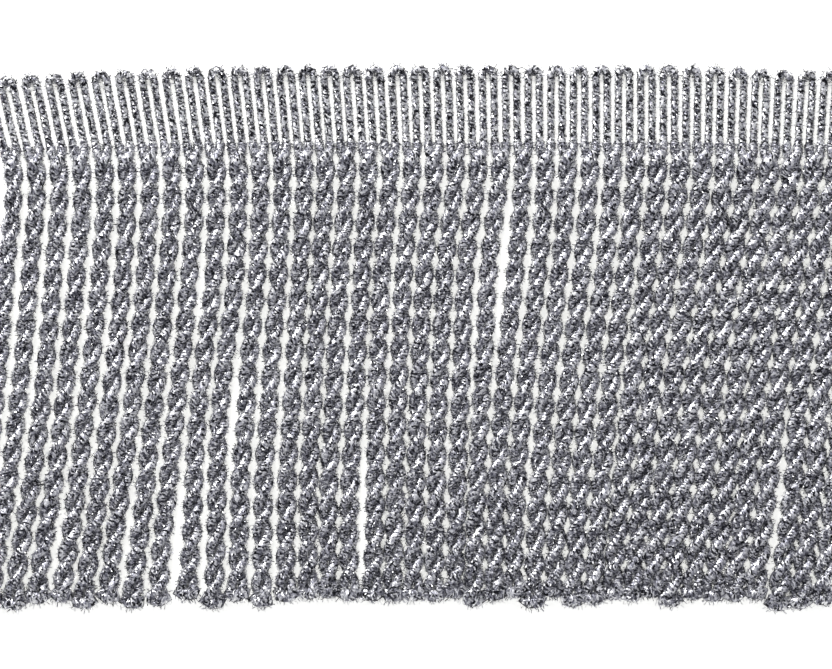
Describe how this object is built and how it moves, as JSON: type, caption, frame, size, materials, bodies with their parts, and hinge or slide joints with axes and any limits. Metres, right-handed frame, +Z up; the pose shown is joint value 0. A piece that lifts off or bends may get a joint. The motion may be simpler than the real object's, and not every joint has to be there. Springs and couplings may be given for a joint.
{
  "type": "bullion fringe trim",
  "caption": "Cut length of bullion fringe trim lying flat: a looped heading of metallic yarn over a skirt of twisted bullion strands that turn back on themselves at the hem.",
  "frame": {"origin": "middle of the heading's flat back, on the surface that the trim lies on", "axes": "+X along the trim, -Y the way the bullions hang, +Z up from the surface"},
  "size_m": [0.1781, 0.102, 0.0034],
  "materials": {
    "heading_yarn": "metallic yarn, pewter grey",
    "bullion_yarn": "metallic yarn, pewter grey"
  },
  "bodies": {
    "root": {"heading": "heading_yarn", "bullion_skirt": "bullion_yarn"}
  },
  "joints": []
}
